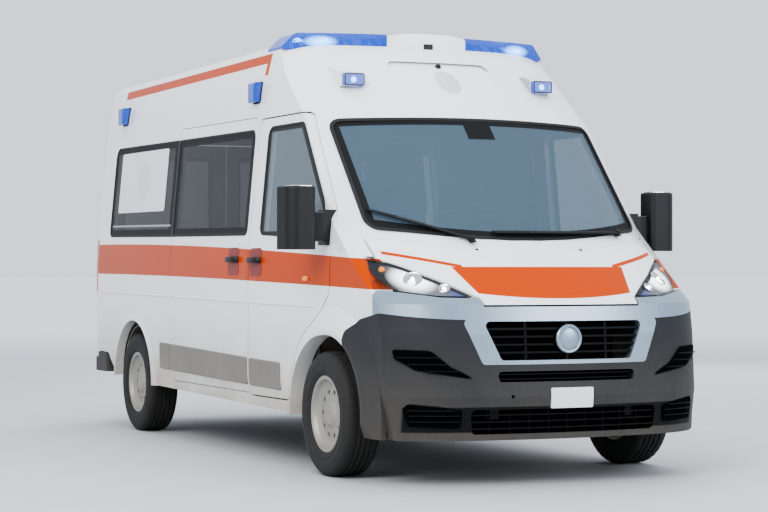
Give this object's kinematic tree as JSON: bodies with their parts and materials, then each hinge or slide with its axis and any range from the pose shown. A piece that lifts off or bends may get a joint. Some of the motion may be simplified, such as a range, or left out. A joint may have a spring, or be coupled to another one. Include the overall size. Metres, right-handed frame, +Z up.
{
  "type": "ambulance van",
  "caption": "High-roof ambulance van with hinged cab and rear doors, bonnet, steered front wheels, blue roof light bar and a fitted patient space.",
  "frame": {"origin": "on the ground under the middle of the length and width", "axes": "+X forward, +Y to the vehicle's left, +Z up"},
  "size_m": [5.4129, 2.4928, 2.566],
  "materials": {
    "white_paint": "gloss",
    "silver_paint": "satin",
    "dark_plastic": "textured",
    "black_plastic": "satin",
    "glass": "clear",
    "lamp_glass": "clear",
    "red_lamp": "clear",
    "blue_lamp": "clear",
    "chassis_paint": "satin",
    "engine_metal": "cast",
    "steel": "brushed",
    "wheel_silver": "satin",
    "tyre_rubber": "matt",
    "seat_fabric": "woven",
    "interior_white": "satin",
    "mattress": "smooth"
  },
  "bodies": {
    "root": {"windscreen_frame": "white_paint", "windscreen": "glass", "headlamps": "lamp_glass", "nose_panel": "silver_paint", "front_bumper": "dark_plastic", "front_wings": "white_paint", "body_side_left": "white_paint", "body_side_right": "white_paint", "sliding_door": "white_paint", "rear_frame": "white_paint", "tail_lamps": "red_lamp", "roof": "white_paint", "side_glass": "glass", "floor_pan": "chassis_paint", "wheel_housings": "chassis_paint", "firewall": "chassis_paint", "engine": "engine_metal", "radiator": "black_plastic", "front_suspension": "chassis_paint", "leaf_springs": "chassis_paint", "rear_axle": "chassis_paint", "fuel_tank": "black_plastic", "exhaust": "steel", "bulkhead": "interior_white", "dashboard": "black_plastic", "seats": "seat_fabric", "cabinets": "interior_white", "stretcher": "mattress", "wipers": "black_plastic", "grille": "black_plastic", "rear_bumper": "dark_plastic", "light_bar_housing": "white_paint", "blue_lamps": "blue_lamp", "roof_vents": "white_paint"},
    "bonnet": {"bonnet": "white_paint"},
    "cab_door_left": {"cab_door_left": "white_paint", "cab_glass_left": "glass", "mirror_left": "black_plastic"},
    "rear_door_left": {"rear_door_left": "white_paint", "rear_glass_left": "glass"},
    "knuckle_left": {"knuckle_left": "steel"},
    "wheel_front_left": {"wheel_front_left": "wheel_silver", "tyre_front_left": "tyre_rubber"},
    "wheel_rear_left": {"wheel_rear_left": "wheel_silver", "tyre_rear_left": "tyre_rubber"},
    "cab_door_right": {"cab_door_right": "white_paint", "cab_glass_right": "glass", "mirror_right": "black_plastic"},
    "rear_door_right": {"rear_door_right": "white_paint", "rear_glass_right": "glass"},
    "knuckle_right": {"knuckle_right": "steel"},
    "wheel_front_right": {"wheel_front_right": "wheel_silver", "tyre_front_right": "tyre_rubber"},
    "wheel_rear_right": {"wheel_rear_right": "wheel_silver", "tyre_rear_right": "tyre_rubber"},
    "steering_wheel": {"steering_wheel": "black_plastic"}
  },
  "joints": [
    {"name": "bonnet_hinge", "type": "hinge", "parent": "root", "child": "bonnet", "pos_m": [1.9645, 0, 1.326], "axis": [0, -1, 0], "range_deg": [0, 60]},
    {"name": "cab_door_left_hinge", "type": "hinge", "parent": "root", "child": "cab_door_left", "pos_m": [1.7705, 1.03, 1], "axis": [0, 0, -1], "range_deg": [0, 70]},
    {"name": "cab_door_right_hinge", "type": "hinge", "parent": "root", "child": "cab_door_right", "pos_m": [1.7705, -1.03, 1], "axis": [0, 0, 1], "range_deg": [0, 70]},
    {"name": "rear_door_left_hinge", "type": "hinge", "parent": "root", "child": "rear_door_left", "pos_m": [-2.6525, 0.952, 1], "axis": [0, 0, -1], "range_deg": [0, 180]},
    {"name": "rear_door_right_hinge", "type": "hinge", "parent": "root", "child": "rear_door_right", "pos_m": [-2.6525, -0.952, 1], "axis": [0, 0, 1], "range_deg": [0, 180]},
    {"name": "steer_left", "type": "hinge", "parent": "root", "child": "knuckle_left", "pos_m": [1.7585, 0.845, 0.341], "axis": [0, 0, 1], "range_deg": [-33, 33]},
    {"name": "steer_right", "type": "hinge", "parent": "root", "child": "knuckle_right", "pos_m": [1.7585, -0.845, 0.341], "axis": [0, 0, 1], "range_deg": [-33, 33]},
    {"name": "steering_wheel_turn", "type": "hinge", "parent": "root", "child": "steering_wheel", "pos_m": [1.3365, 0.44, 1.13], "axis": [-0.766, 0, 0.6428], "range_deg": [-470, 470]},
    {"name": "wheel_front_left_spin", "type": "hinge", "parent": "knuckle_left", "child": "wheel_front_left", "pos_m": [1.7585, 0.905, 0.341], "axis": [0, 1, 0], "continuous": true},
    {"name": "wheel_rear_left_spin", "type": "hinge", "parent": "root", "child": "wheel_rear_left", "pos_m": [-1.6915, 0.895, 0.341], "axis": [0, 1, 0], "continuous": true},
    {"name": "wheel_front_right_spin", "type": "hinge", "parent": "knuckle_right", "child": "wheel_front_right", "pos_m": [1.7585, -0.905, 0.341], "axis": [0, 1, 0], "continuous": true},
    {"name": "wheel_rear_right_spin", "type": "hinge", "parent": "root", "child": "wheel_rear_right", "pos_m": [-1.6915, -0.895, 0.341], "axis": [0, 1, 0], "continuous": true}
  ],
  "couplings": [
    {"joint": "steer_right", "follows": "steer_left", "ratio": 1},
    {"joint": "steering_wheel_turn", "follows": "steer_left", "ratio": 14}
  ]
}
